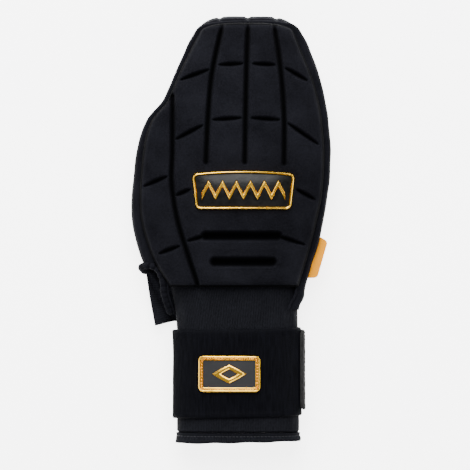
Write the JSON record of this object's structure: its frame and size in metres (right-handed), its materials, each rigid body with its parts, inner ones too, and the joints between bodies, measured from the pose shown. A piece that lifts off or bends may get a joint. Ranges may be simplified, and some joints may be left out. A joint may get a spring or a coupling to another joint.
{
  "type": "sliding mitt",
  "caption": "Padded black sliding mitt with moulded finger pads, thumb lobe, hollow hand pocket, ribbed wrist strap, open cuff and gold-rimmed badges.",
  "frame": {"origin": "on the ground under the middle of the mitt's bounding box, as it lies on its palm side", "axes": "+Y from the cuff to the fingertips, +Z out of the back of the hand, +X towards the little finger"},
  "size_m": [0.1448, 0.3138, 0.049],
  "materials": {
    "shell_fabric": "matte black coated jersey over moulded foam",
    "cuff_knit": "black fine ribbed knit over neoprene",
    "strap_elastic": "black ribbed elastic webbing",
    "closure_fleece": "dark grey hook-and-loop pile",
    "gold_trim": "gold metallised raised trim",
    "badge_field": "glossy black with a fine grain",
    "strap_badge_field": "satin dark grey",
    "tag_fabric": "woven gold satin label"
  },
  "bodies": {
    "root": {"back_pad": "shell_fabric", "palm_pad": "shell_fabric", "side_gusset": "shell_fabric", "thumb_binding": "shell_fabric", "heel_panel": "cuff_knit", "cuff": "cuff_knit", "cuff_hem": "cuff_knit", "wrist_strap": "strap_elastic", "closure_tab": "closure_fleece", "back_badge_rim": "gold_trim", "back_badge_plate": "badge_field", "back_badge_motif": "gold_trim", "strap_badge_rim": "gold_trim", "strap_badge_plate": "strap_badge_field", "strap_badge_motif": "gold_trim", "side_tag": "tag_fabric"}
  },
  "joints": []
}
